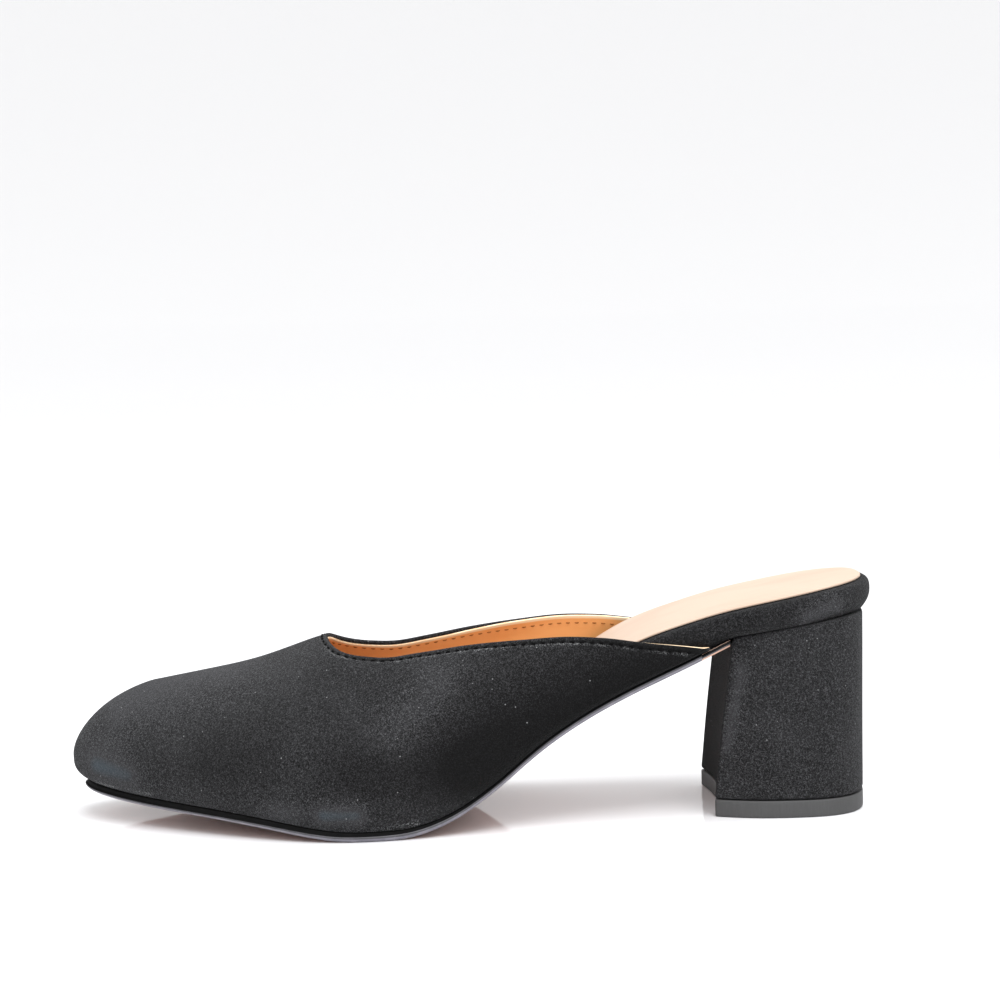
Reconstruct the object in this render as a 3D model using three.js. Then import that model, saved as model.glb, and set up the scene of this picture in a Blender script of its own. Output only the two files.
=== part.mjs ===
// A block-heel mule: closed almond toe, open back, one shoe for the left foot.
// Millimetres, +Z up. The toe points along -Y and the outer side of the foot is +X.
// Lengths along the shoe run from about the tip of the toe, y = 0, to the back of the footbed.

import * as THREE from 'three';
import { mergeVertices } from 'three/addons/utils/BufferGeometryUtils.js';

// Driving dimensions, in millimetres
const shoeLength = 240;
const ballWidth = 84;
const throatHeight = 53.7;
const archHeight = 50.7;
const seatHeight = 52.5;
const seatSlope = 0.15;
const upperWall = 1.7;
const clearance = 0.3;

const toeBulge = 3.2;
const bulgeRise = 12;
const tuckFullness = 3.6;
const featherInset = 0.8;
const toeFan = 25.5;
const throatY = 78;
const wingEndY = 190;

const breastY = 197;
const breastHollow = 2.6;
const foreSoleThickness = 2.5;
const waistSoleThickness = 1.8;
const soleBevel = 1;
const soleBevelInset = 0.9;
const soleRibTop = 1.4;
const soleGrooveInset = 0.4;

const footbedThickness = 12;
const footbedEdgeRound = 2.2;
const footbedSeatWidth = 57.4;
const footbedRoundY = 206;
const seatSpread = 30;
const sockThickness = 0.8;
const sockInset = 0.4;
const seatRoundness = 2.6;

const topPieceHeight = 5;
const heelRearInset = 2.6;
const heelWidth = 53.6;
const heelFrontWidth = 45.2;
const heelTopFrontWidth = 49.6;
const heelFlare = 5.8;
const heelRearTaper = 0.6;
const heelWidestShare = 0.42;
const heelRoundness = 3;

// Fineness of the surfaces: rows along the shoe and columns across it
const vampRows = 17;
const wingRows = 26;
const wingRowGrowth = 1.6;
const tuckColumns = 3;
const roofColumns = 9;
const soleRows = 40;
const soleEndRows = 4;
const soleEndFrom = 0.93;
const soleColumns = 8;
const footbedForeRows = 32;
const footbedBackRows = 13;
const footbedColumns = 6;
const heelRings = 8;
const breastColumns = 8;
const flankColumns = 4;
const backColumns = 18;
const outlineStep = 0.004;
const leastShare = 0.02;
const joinDistance = 1e-3;

// The sole's outline: distance along the shoe as a share of its length, and how far the outer and
// inner edges lie from the heel's centre line as shares of the ball width
const soleOutline = [
  { at: 0.011, outer: -0.06, inner: 0.06 },
  { at: 0.027, outer: 0.062, inner: 0.164 },
  { at: 0.058, outer: 0.138, inner: 0.236 },
  { at: 0.133, outer: 0.280, inner: 0.352 },
  { at: 0.196, outer: 0.378, inner: 0.416 },
  { at: 0.258, outer: 0.460, inner: 0.452 },
  { at: 0.317, outer: 0.518, inner: 0.460 },
  { at: 0.363, outer: 0.536, inner: 0.448 },
  { at: 0.404, outer: 0.527, inner: 0.424 },
  { at: 0.458, outer: 0.490, inner: 0.388 },
  { at: 0.542, outer: 0.430, inner: 0.350 },
  { at: 0.625, outer: 0.387, inner: 0.342 },
  { at: 0.708, outer: 0.366, inner: 0.350 },
  { at: 0.771, outer: 0.355, inner: 0.352 },
  { at: 0.821, outer: 0.330, inner: 0.330 },
];

// The underside's height from the floor, as a share of the arch height: toe spring, the flat
// tread under the ball and the arch up to the heel breast
const soleCurve = [
  { at: 0.011, height: 0.174 },
  { at: 0.058, height: 0.142 },
  { at: 0.133, height: 0.115 },
  { at: 0.196, height: 0.094 },
  { at: 0.258, height: 0.063 },
  { at: 0.317, height: 0.022 },
  { at: 0.358, height: 0 },
  { at: 0.421, height: 0 },
  { at: 0.471, height: 0.057 },
  { at: 0.529, height: 0.217 },
  { at: 0.588, height: 0.441 },
  { at: 0.646, height: 0.614 },
  { at: 0.704, height: 0.752 },
  { at: 0.763, height: 0.875 },
  { at: 0.821, height: 1 },
];

// The outsole's thickness, from 0 for the waist's to 1 for the forepart's
const soleWeight = [
  { at: 0.011, weight: 1 },
  { at: 0.40, weight: 1 },
  { at: 0.56, weight: 0 },
  { at: 0.821, weight: 0 },
];

// The lasted body of the upper: how far its widest line stands out beyond the sole as a share of
// the toe bulge, how high above the feather line as a share of the bulge rise, the ridge's height
// as a share of the throat height, and the fullness of the roof, where 2 is an ellipse
const body = [
  { at: 0.011, out: 1, rise: 0.60, ridge: 0.728, full: 1.62 },
  { at: 0.083, out: 0.84, rise: 0.74, ridge: 0.740, full: 1.64 },
  { at: 0.125, out: 0.72, rise: 0.82, ridge: 0.771, full: 1.68 },
  { at: 0.167, out: 0.62, rise: 0.88, ridge: 0.804, full: 1.72 },
  { at: 0.229, out: 0.54, rise: 0.96, ridge: 0.858, full: 1.76 },
  { at: 0.288, out: 0.48, rise: 1, ridge: 0.944, full: 1.72 },
  { at: 0.325, out: 0.45, rise: 1, ridge: 1, full: 1.68 },
  { at: 0.40, out: 0.42, rise: 1, ridge: 1.04, full: 1.62 },
  { at: 0.50, out: 0.39, rise: 0.78, ridge: 1.17, full: 1.86 },
  { at: 0.625, out: 0.34, rise: 0.42, ridge: 1.33, full: 2.15 },
  { at: 0.708, out: 0.34, rise: 0.25, ridge: 1.32, full: 2.3 },
  { at: 0.792, out: 0.34, rise: 0.05, ridge: 1.2, full: 2.4 },
];

// The topline's height, as a share of the throat height, from the throat's tip to the wing's end
const topline = [
  { at: 0.325, height: 1 },
  { at: 0.333, height: 0.969 },
  { at: 0.350, height: 0.934 },
  { at: 0.371, height: 0.917 },
  { at: 0.40, height: 0.909 },
  { at: 0.446, height: 0.936 },
  { at: 0.504, height: 0.977 },
  { at: 0.563, height: 1.004 },
  { at: 0.621, height: 1.020 },
  { at: 0.663, height: 1.011 },
  { at: 0.717, height: 0.978 },
  { at: 0.763, height: 0.952 },
  { at: 0.792, height: 0.930 },
];

// The footbed: its thickness as a share of the greatest, board and padding together. The upper
// side is one smooth curve through these heights above the sole and the heel seat
const footbedBody = [
  { at: 0.011, thick: 0.32 },
  { at: 0.196, thick: 0.34 },
  { at: 0.358, thick: 0.38 },
  { at: 0.458, thick: 0.48 },
  { at: 0.542, thick: 0.60 },
  { at: 0.625, thick: 0.80 },
  { at: 0.708, thick: 0.92 },
  { at: 0.775, thick: 0.78 },
  { at: 0.821, thick: 0.61 },
  { at: 0.879, thick: 0.67 },
  { at: 0.938, thick: 0.71 },
  { at: 1, thick: 0.72 },
];

// The footbed's rim from below upwards: how far each row lies inside the outline, as a share of the
// rim's round, and its share of the thickness. It is widest a little above the middle
const footbedRim = [
  { inset: 1, up: 0 },
  { inset: 0.35, up: 0.22 },
  { inset: 0, up: 0.5 },
  { inset: 0, up: 0.7 },
  { inset: 0.25, up: 0.92 },
  { inset: 1, up: 1 },
];

// The sock's rim, as shares of its thickness
const sockRim = [
  { inset: 0, up: 0 },
  { inset: 0, up: 0.5 },
  { inset: 0.33, up: 1 },
];

// The heel block's front edge: share of its height, and how much of the flare is left there
const heelFront = [
  { up: 0, flare: 1 },
  { up: 0.35, flare: 0.70 },
  { up: 0.70, flare: 0.34 },
  { up: 1, flare: 0 },
];

// A smooth curve through the points that never swings past them
function curveThrough(xs, ys) {
  const last = xs.length - 1;
  const grade = xs.slice(0, last).map((x, i) => (ys[i + 1] - ys[i]) / (xs[i + 1] - x));
  const slope = xs.map((x, i) => {
    if (i === 0) return grade[0];
    if (i === last) return grade[last - 1];
    if (grade[i - 1] * grade[i] <= 0) return 0;
    return (2 * grade[i - 1] * grade[i]) / (grade[i - 1] + grade[i]);
  });
  return (x) => {
    let i = 0;
    while (i < last - 1 && x > xs[i + 1]) i += 1;
    const width = xs[i + 1] - xs[i];
    const t = Math.min(Math.max((x - xs[i]) / width, 0), 1);
    const a = ys[i] * (1 + 2 * t) * (1 - t) ** 2 + ys[i + 1] * t * t * (3 - 2 * t);
    return a + width * t * (1 - t) * (slope[i] * (1 - t) - slope[i + 1] * t);
  };
}

const column = (table, name, size) =>
  curveThrough(table.map((row) => row.at * shoeLength), table.map((row) => row[name] * size));

const bottomHeight = column(soleCurve, 'height', archHeight);
const soleShare = column(soleWeight, 'weight', 1);
const outAt = column(body, 'out', toeBulge);
const riseAt = column(body, 'rise', bulgeRise);
const ridgeAt = column(body, 'ridge', throatHeight);
const fullAt = column(body, 'full', 1);
const toplineAt = column(topline, 'height', throatHeight);

// The tip's distance along the shoe, and the row parameter q that rounds the tip: distance grows
// with the square of q, so an edge that leaves the tip evenly in q makes a round nose
const noseY = soleOutline[0].at * shoeLength;
const rowOf = (y) => Math.sqrt(Math.max(y - noseY, 0) / (breastY - noseY));
const yOf = (q) => noseY + (breastY - noseY) * q * q;
const outlineRows = soleOutline.map((row) => rowOf(row.at * shoeLength));
const edgeX = {
  1: curveThrough(outlineRows, soleOutline.map((row) => row.outer * ballWidth)),
  '-1': curveThrough(outlineRows, soleOutline.map((row) => -row.inner * ballWidth)),
};

const seatAt = (y) => seatHeight + seatSlope * (y - breastY);
const soleThicknessAt = (y) =>
  waistSoleThickness + (foreSoleThickness - waistSoleThickness) * soleShare(y);
const soleTop = (y) => (y < breastY ? bottomHeight(y) + soleThicknessAt(y) : seatAt(y));
const soleBottom = (y) => (y < breastY ? bottomHeight(y) : seatAt(y) - waistSoleThickness);

// A point of the sole's edge; a negative q goes on round the nose to the other side
function soleEdge(q, side) {
  if (q < 0) return soleEdge(-q, -side);
  return new THREE.Vector2(edgeX[side](q), yOf(q));
}

// The same edge moved outwards by a distance, square to the outline
function edgeOut(q, side, distance) {
  const ahead = soleEdge(q + outlineStep, side);
  const along = ahead.sub(soleEdge(q - outlineStep, side)).normalize();
  const outward = new THREE.Vector2(along.y * side, -along.x * side);
  return soleEdge(q, side).addScaledVector(outward, distance);
}

// The spine of the upper: a row's meridian ends there. Round the toe the ends draw together
function spineY(q) {
  const y = yOf(q);
  return y < throatY ? y + toeFan * (1 - y / throatY) ** 3 : y;
}

const spineX = (y) => edgeX[1](0) * Math.max(0, 1 - y / throatY);

// A point of the lasted surface, moved inwards by depth. The meridian of row q runs from the
// feather line, lift -1, over the widest line, lift 0, up to the ridge, lift 1
function lasted(q, side, lift, depth) {
  const y = yOf(q);
  const feather = soleTop(y) + clearance;
  const wideHeight = feather + riseAt(y);
  const wide = edgeOut(q, side, outAt(y) - depth);
  if (lift <= 0) {
    const foot = edgeOut(q, side, -featherInset - depth);
    const flat = wide.lerp(foot, (-lift) ** tuckFullness);
    return new THREE.Vector3(flat.x, flat.y, wideHeight + lift * (wideHeight - feather));
  }
  const endY = spineY(q);
  const power = 2 / fullAt(endY);
  const reach = Math.cos(lift * Math.PI / 2) ** power;
  const height = Math.sin(lift * Math.PI / 2) ** power;
  const flat = new THREE.Vector2(spineX(endY), endY).lerp(wide, reach);
  const roof = ridgeAt(flat.y) - depth;
  return new THREE.Vector3(flat.x, flat.y, wideHeight + (roof - wideHeight) * height);
}

// Where a row's meridian is cut by the topline, as its lift
function toplineLift(q) {
  const y = yOf(q);
  if (y <= throatY) return 1;
  const wideHeight = soleTop(y) + clearance + riseAt(y);
  const share = (toplineAt(y) - wideHeight) / (ridgeAt(y) - wideHeight);
  const full = fullAt(spineY(q));
  return Math.asin(Math.min(Math.max(share, leastShare), 1) ** (full / 2)) * 2 / Math.PI;
}

// A closed mesh from points and triangles: equal points are joined, empty triangles left out
function closedGeometry(points, triangles) {
  const loose = new THREE.BufferGeometry();
  const flat = points.flatMap((p) => [p.x, p.y, p.z]);
  loose.setAttribute('position', new THREE.Float32BufferAttribute(flat, 3));
  loose.setIndex(triangles.flat());
  const joined = mergeVertices(loose, joinDistance);
  const index = joined.index.array;
  const kept = [];
  for (let i = 0; i < index.length; i += 3) {
    const [a, b, c] = [index[i], index[i + 1], index[i + 2]];
    if (a !== b && b !== c && c !== a) kept.push(a, b, c);
  }
  joined.setIndex(kept);
  joined.computeVertexNormals();
  return joined;
}

// Collects patches of a surface; a patch is a grid of points, and flip turns its faces over
class Shell {
  constructor() {
    this.points = [];
    this.triangles = [];
  }

  add(grid, flip = false) {
    const first = this.points.length;
    const wide = grid[0].length;
    this.points.push(...grid.flat());
    for (let i = 0; i + 1 < grid.length; i += 1) {
      for (let j = 0; j + 1 < wide; j += 1) {
        const a = first + i * wide + j;
        const [b, c, d] = [a + 1, a + wide + 1, a + wide];
        this.triangles.push(...(flip ? [[a, c, b], [a, d, c]] : [[a, b, c], [a, c, d]]));
      }
    }
  }

  geometry() {
    return closedGeometry(this.points, this.triangles);
  }
}

const steps = (from, to, count) =>
  Array.from({ length: count + 1 }, (_, i) => from + (to - from) * i / count);

// The upper: outer and inner surface of each half, the feather's and topline's edges, wing ends
function upperGeometry() {
  const throatRow = rowOf(throatY);
  const endRow = rowOf(wingEndY);
  const rows = [
    ...steps(0, throatRow, vampRows),
    ...steps(0, 1, wingRows).slice(1).map((t) => throatRow + (endRow - throatRow) * t ** wingRowGrowth),
  ];
  const shell = new Shell();
  for (const side of [1, -1]) {
    const flip = side > 0;
    const lifts = rows.map((q) => [
      ...steps(-1, 0, tuckColumns),
      ...steps(0, toplineLift(q), roofColumns).slice(1),
    ]);
    const surface = (depth) =>
      rows.map((q, i) => lifts[i].map((lift) => lasted(q, side, lift, depth)));
    const outside = surface(0);
    const inside = surface(upperWall);
    shell.add(outside, flip);
    shell.add(inside, !flip);
    shell.add(outside.map((row, i) => [inside[i][0], row[0]]), flip);
    const top = lifts[0].length - 1;
    const rim = outside.map((row, i) => [row[top], inside[i][top]]);
    shell.add(rim.slice(vampRows), flip);
    shell.add([outside.at(-1), inside.at(-1)], flip);
  }
  return shell.geometry();
}

// A flat piece that follows the shoe, from loops of points across it. A loop runs over the top from
// the outer to the inner edge and back below, and the last one is closed by a strip
function slabGeometry(loops) {
  const shell = new Shell();
  shell.add(loops.map((loop) => [...loop, loop[0]]), true);
  const last = loops.at(-1);
  const half = last.length / 2;
  shell.add([last.slice(0, half), last.slice(half).reverse()], true);
  return shell.geometry();
}

// One loop of a flat piece. The rim's rows go up the edge: how far each lies inside the outline,
// and its share of the height from the bottom to the top
function slabLoop(rim, point, across) {
  const [foot, ...edge] = rim.map(({ inset, up }) => [point(1, inset, up), point(-1, inset, up)]);
  const [outerTop, innerTop] = edge.at(-1);
  const inner = steps(0, 1, across).slice(1, -1);
  const between = inner.map((t) => point.between(outerTop, innerTop, t, 1));
  const over = [...edge.map((pair) => pair[0]), ...between, ...edge.map((pair) => pair[1]).reverse()];
  const under = steps(1, 0, over.length - 1).map((t) => point.between(foot[0], foot[1], t, 0));
  return [...over, ...under];
}

// Places the points of a slab between its bottom and top surfaces
function slabPoint(edge, bottom, top) {
  const lift = (flat, up) => {
    const low = bottom(flat.y);
    return new THREE.Vector3(flat.x, flat.y, low + (top(flat.y) - low) * up);
  };
  const point = (side, inset, up) => lift(edge(side, inset), up);
  point.between = (a, b, t, up) => {
    const flat = new THREE.Vector2(a.x + (b.x - a.x) * t, a.y + (b.y - a.y) * t);
    return lift(flat, up);
  };
  return point;
}

// The outsole: a recessed band under the upper, then a rib and a bevel round its lower edge. Its
// rear end follows the hollow of the heel's breast
const breastAt = (x, front, halfWidth) => front + breastHollow * (1 - (x / halfWidth) ** 2);

function outsoleGeometry() {
  const rim = [
    { inset: soleBevelInset, up: 0 },
    { inset: 0, up: soleBevel / foreSoleThickness },
    { inset: soleGrooveInset, up: soleRibTop / foreSoleThickness },
    { inset: soleGrooveInset, up: 1 },
  ];
  const rows = [...steps(0, soleEndFrom, soleRows), ...steps(soleEndFrom, 1, soleEndRows).slice(1)];
  const loops = rows.map((q) => {
    const edge = (side, inset) => edgeOut(q, side, -inset);
    const loop = slabLoop(rim, slabPoint(edge, soleBottom, soleTop), soleColumns);
    const share = Math.max(0, (q - soleEndFrom) / (1 - soleEndFrom));
    return loop.map((p) => {
      const y = p.y + share * (breastAt(p.x, 0, heelTopFrontWidth / 2) - clearance);
      const up = (p.z - soleBottom(p.y)) / (soleTop(p.y) - soleBottom(p.y));
      return new THREE.Vector3(p.x, y, soleBottom(y) + up * (soleTop(y) - soleBottom(y)));
    });
  });
  return slabGeometry(loops);
}

// The footbed's outline: inside the upper's wall as far as the wings go, then out to the seat's
// full width and round the back. Row 1 is where the round starts and row 2 is the rearmost point
const underWall = featherInset + upperWall + clearance;
const roundRow = rowOf(footbedRoundY);

function footbedEdge(row, side, inset) {
  const seatHalf = footbedSeatWidth / 2;
  if (row <= 1) {
    const q = row * roundRow;
    const open = THREE.MathUtils.smoothstep(yOf(q), wingEndY - seatSpread, footbedRoundY);
    const edge = edgeOut(q, side, -underWall - inset);
    edge.x += (side * (seatHalf - inset) - edge.x) * open;
    edge.y += (yOf(q) - edge.y) * open;
    return edge;
  }
  const turn = (row - 1) * Math.PI / 2;
  const power = 2 / seatRoundness;
  const reach = shoeLength - footbedRoundY - inset;
  return new THREE.Vector2(
    side * (seatHalf - inset) * Math.cos(turn) ** power,
    footbedRoundY + reach * Math.sin(turn) ** power,
  );
}

const footbedBottom = (y) => soleTop(y) + clearance;
const footbedTop = curveThrough(
  footbedBody.map((row) => row.at * shoeLength),
  footbedBody.map((row) => footbedBottom(row.at * shoeLength) + row.thick * footbedThickness),
);
const footbedRows = [
  ...steps(0, 1 / roundRow, footbedForeRows),
  ...steps(1, 2, footbedBackRows),
];

// A layer of the footbed: a slab between two surfaces whose outline lies a distance inside
function layerGeometry(rim, start, bottom, top) {
  return slabGeometry(footbedRows.map((row) => {
    const edge = (side, inset) => footbedEdge(row, side, start + inset);
    return slabLoop(rim, slabPoint(edge, bottom, top), footbedColumns);
  }));
}

function footbedGeometry() {
  const rim = footbedRim.map(({ inset, up }) => ({ inset: inset * footbedEdgeRound, up }));
  return layerGeometry(rim, 0, footbedBottom, footbedTop);
}

// The insole sock: a thin cover on the footbed, a little inside its rim
function sockGeometry() {
  const rim = sockRim.map(({ inset, up }) => ({ inset: inset * sockThickness, up }));
  const bottom = (y) => footbedTop(y) + clearance;
  const top = (y) => bottom(y) + sockThickness;
  return layerGeometry(rim, footbedEdgeRound + sockInset, bottom, top);
}

// The heel's outline at a share of its height: a hollow front edge, sides that widen to the
// middle and a back with round corners
const flareAt = curveThrough(
  heelFront.map((row) => row.up),
  heelFront.map((row) => row.flare * heelFlare),
);

function heelOutline(up) {
  const front = breastY - flareAt(up);
  const rear = shoeLength - heelRearInset - heelRearTaper * (1 - up);
  const middle = front + (rear - front) * heelWidestShare;
  const half = heelWidth / 2;
  const frontHalf = (heelFrontWidth + (heelTopFrontWidth - heelFrontWidth) * up) / 2;
  const across = steps(-frontHalf, frontHalf, breastColumns);
  const breast = across.map((x) => [x, breastAt(x, front, frontHalf)]);
  const flank = steps(0, 1, flankColumns).slice(1).map((t) => [
    frontHalf + (half - frontHalf) * (1 - (1 - t) ** 2),
    front + (middle - front) * t,
  ]);
  const back = steps(0, Math.PI, backColumns).slice(1, -1).map((turn) => [
    half * Math.sign(Math.cos(turn)) * Math.abs(Math.cos(turn)) ** (2 / heelRoundness),
    middle + (rear - middle) * Math.sin(turn) ** (2 / heelRoundness),
  ]);
  const otherFlank = flank.map(([x, y]) => [-x, y]).reverse();
  return [...breast, ...flank, ...back, ...otherFlank].map(([x, y]) => new THREE.Vector2(x, y));
}

// A closed post from outlines with as many points each, stacked from the lowest to the highest
function postGeometry(rings) {
  const shell = new Shell();
  shell.add(rings.map((ring) => [...ring, ring[0]]));
  for (const [ring, flip] of [[rings[0], true], [rings.at(-1), false]]) {
    const first = shell.points.length;
    shell.points.push(...ring);
    const faces = THREE.ShapeUtils.triangulateShape(ring.map((p) => new THREE.Vector2(p.x, p.y)), []);
    for (const [a, b, c] of faces) {
      shell.triangles.push((flip ? [a, c, b] : [a, b, c]).map((i) => first + i));
    }
  }
  return shell.geometry();
}

function heelGeometry() {
  const foot = topPieceHeight + clearance;
  const rings = steps(0, 1, heelRings).map((up) => heelOutline(up).map((p) =>
    new THREE.Vector3(p.x, p.y, foot + (seatAt(p.y) - foot) * up)));
  return postGeometry(rings);
}

function topPieceGeometry() {
  const ring = (z) => heelOutline(0).map((p) => new THREE.Vector3(p.x, p.y, z));
  return postGeometry([ring(0), ring(topPieceHeight)]);
}

// Materials
const suede = { color: '#2f3235', roughness: 0.95, metalness: 0 };
const soleUnderside = { color: '#5a4440', roughness: 0.55, metalness: 0 };
const sockLeather = { color: '#f2dcc6', roughness: 0.6, metalness: 0 };
const heelRubber = { color: '#3a3a3c', roughness: 0.7, metalness: 0 };

// The shoe, set down with its origin under the middle of its length and width
const pieces = {
  outsole: [outsoleGeometry(), soleUnderside],
  top_piece: [topPieceGeometry(), heelRubber],
  heel_block: [heelGeometry(), suede],
  footbed: [footbedGeometry(), suede],
  insole: [sockGeometry(), sockLeather],
  upper: [upperGeometry(), suede],
};

const shoe = new THREE.Group();
for (const [name, [geometry, look]] of Object.entries(pieces)) {
  const mesh = new THREE.Mesh(geometry, new THREE.MeshStandardMaterial(look));
  mesh.name = name;
  shoe.add(mesh);
}
const box = new THREE.Box3().setFromObject(shoe);
const middle = box.getCenter(new THREE.Vector3());
shoe.position.set(-middle.x, -middle.y, -box.min.z);

export default shoe;
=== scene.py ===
"""Black suede block-heel mule: the looks of one shoe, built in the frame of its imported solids.

Shapes are worked out in millimetres in the shoe's own frame, where y runs from the tip of the toe
to the back of the footbed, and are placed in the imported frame, in metres, by Last.place.
"""
import logging
import math
from dataclasses import dataclass
from enum import Enum
from functools import cached_property
from typing import Callable, ClassVar, Sequence

import bmesh
import bpy
import numpy as np
from mathutils import Matrix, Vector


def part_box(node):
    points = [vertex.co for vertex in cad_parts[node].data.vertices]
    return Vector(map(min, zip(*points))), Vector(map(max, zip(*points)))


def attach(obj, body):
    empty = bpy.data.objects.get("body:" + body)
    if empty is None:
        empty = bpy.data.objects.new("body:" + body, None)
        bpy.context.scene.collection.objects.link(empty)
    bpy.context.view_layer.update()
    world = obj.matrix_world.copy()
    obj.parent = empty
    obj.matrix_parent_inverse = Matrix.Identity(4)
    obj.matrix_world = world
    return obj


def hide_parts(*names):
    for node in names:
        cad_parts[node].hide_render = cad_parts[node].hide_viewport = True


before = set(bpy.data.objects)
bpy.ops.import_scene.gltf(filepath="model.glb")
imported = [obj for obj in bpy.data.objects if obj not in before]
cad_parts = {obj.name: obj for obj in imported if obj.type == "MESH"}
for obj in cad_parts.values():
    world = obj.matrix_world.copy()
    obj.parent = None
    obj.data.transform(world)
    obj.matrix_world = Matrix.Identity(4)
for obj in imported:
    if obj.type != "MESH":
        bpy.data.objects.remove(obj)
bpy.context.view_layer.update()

logger = logging.getLogger("mule")
Array = np.ndarray
Curve = Callable[[Array], Array]
Material = bpy.types.Material
Piece = bpy.types.Object
Socket = bpy.types.NodeSocket


# Shared geometry


def linear_colour(hex_code: str) -> tuple[float, float, float, float]:
    """Turns an sRGB hex value such as #F3D9C3 into a linear colour with alpha 1."""
    channels = np.array([int(hex_code[i:i + 2], 16) / 255 for i in (1, 3, 5)])
    low, high = channels / 12.92, ((channels + 0.055) / 1.055) ** 2.4
    return (*np.where(channels <= 0.04045, low, high).tolist(), 1.0)


def smooth_curve(xs: Array, ys: Array, soften: float = 0) -> Curve:
    """A curve through the points that never swings past them.

    Each stretch is a cubic with the harmonic mean of its neighbours' slopes at its ends. A
    softened curve is its average under a Gaussian, with the ends carried on straight.

    Args:
        xs: Rising positions.
        ys: The value at each position.
        soften: The Gaussian's width, in the positions' unit, or 0.

    Returns:
        A function of an array of positions, held constant beyond the ends.
    """
    grade = np.diff(ys) / np.diff(xs)
    before, after = grade[:-1], grade[1:]
    same = before * after > 0
    inner = np.where(same, 2 * before * after / np.where(same, before + after, 1), 0)
    slope = np.concatenate([grade[:1], inner, grade[-1:]])

    def value(x: Array) -> Array:
        """The curve's value at each position."""
        x = np.clip(x, xs[0], xs[-1])
        i = np.clip(np.searchsorted(xs, x, side="right") - 1, 0, len(xs) - 2)
        width = xs[i + 1] - xs[i]
        t = (x - xs[i]) / width
        ends = ys[i] * (1 + 2 * t) * (1 - t) ** 2 + ys[i + 1] * t * t * (3 - 2 * t)
        return ends + width * t * (1 - t) * (slope[i] * (1 - t) - slope[i + 1] * t)

    if not soften:
        return value
    steps, reach = 6, 4
    wide = np.arange(xs[0] - reach * soften, xs[-1] + reach * soften, soften / steps)
    carried = grade[0] * np.minimum(wide - xs[0], 0) + grade[-1] * np.maximum(wide - xs[-1], 0)
    weights = bell(np.arange(-steps * reach, steps * reach + 1), steps)
    softened = np.convolve(value(wide) + carried, weights / weights.sum(), mode="same")
    return lambda x: np.interp(np.clip(x, xs[0], xs[-1]), wide, softened)


def smoothstep(x: Array, low: float, high: float) -> Array:
    """Rises from 0 at low to 1 at high along a soft S."""
    t = np.clip((x - low) / (high - low), 0, 1)
    return t * t * (3 - 2 * t)


def bell(x: Array, width: float) -> Array:
    """A Gaussian of the given width that is 1 at 0."""
    return np.exp(-0.5 * (x / width) ** 2)


def raised(plan: Array, height: Array) -> Array:
    """Points in plan, as (..., 2), with their heights."""
    return np.concatenate([plan, height[..., None]], axis=-1)


def closed(rings: Array) -> Array:
    """Each ring with its first entry repeated at its end."""
    return np.concatenate([rings, rings[:, :1]], axis=1)


def unit(vectors: Array) -> Array:
    """Each vector at length 1."""
    return vectors / np.maximum(np.linalg.norm(vectors, axis=-1, keepdims=True), 1e-12)


def soften_ring(ring: Array, sigma: float, count: int) -> Array:
    """Rounds the corners of closed outlines.

    Each outline is resampled evenly along its length and smoothed by a Gaussian round the loop.

    Args:
        ring: Outlines, one a row, as (rows, points, 2).
        sigma: The Gaussian's width in millimetres.
        count: How many points each new outline has.

    Returns:
        The new outlines as (rows, count, 2).
    """
    lines = closed(ring)
    along = np.cumsum(np.linalg.norm(np.diff(lines, axis=1), axis=-1), axis=1)
    along = np.concatenate([np.zeros((len(ring), 1)), along], axis=1)
    stations = np.linspace(0, 1, count, endpoint=False)
    even = np.stack([
        np.stack([np.interp(stations * s[-1], s, line[:, k]) for k in (0, 1)], axis=-1)
        for s, line in zip(along, lines)
    ])
    wave = np.fft.fftfreq(count)[None, :, None] * count / along[:, -1][:, None, None]
    kept = np.exp(-2 * (math.pi * sigma * wave) ** 2)
    return np.fft.ifft(np.fft.fft(even, axis=1) * kept, axis=1).real


def distance_to_line(points: Array, line: Array) -> Array:
    """Each point's distance to the nearest corner of a finely stepped line."""
    flat = points.reshape(-1, 3)
    parts = [
        np.sqrt(((block[:, None] - line[None]) ** 2).sum(axis=-1).min(axis=1))
        for block in np.array_split(flat, max(1, len(flat) // 4000))
    ]
    return np.concatenate(parts).reshape(points.shape[:-1])


@dataclass(frozen=True)
class Table:
    """A short table of shares along the shoe, with named columns."""

    columns: tuple[str, ...]
    rows: tuple[tuple[float, ...], ...]

    def column(self, name: str) -> Array:
        """One column's values."""
        return np.array([row[self.columns.index(name)] for row in self.rows])

    def curve(self, name: str, size: float, length: float, soften: float = 0) -> Curve:
        """The smooth curve of a column times its size, over the first column times a length."""
        at = self.column(self.columns[0]) * length
        return smooth_curve(at, self.column(name) * size, soften)


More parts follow.
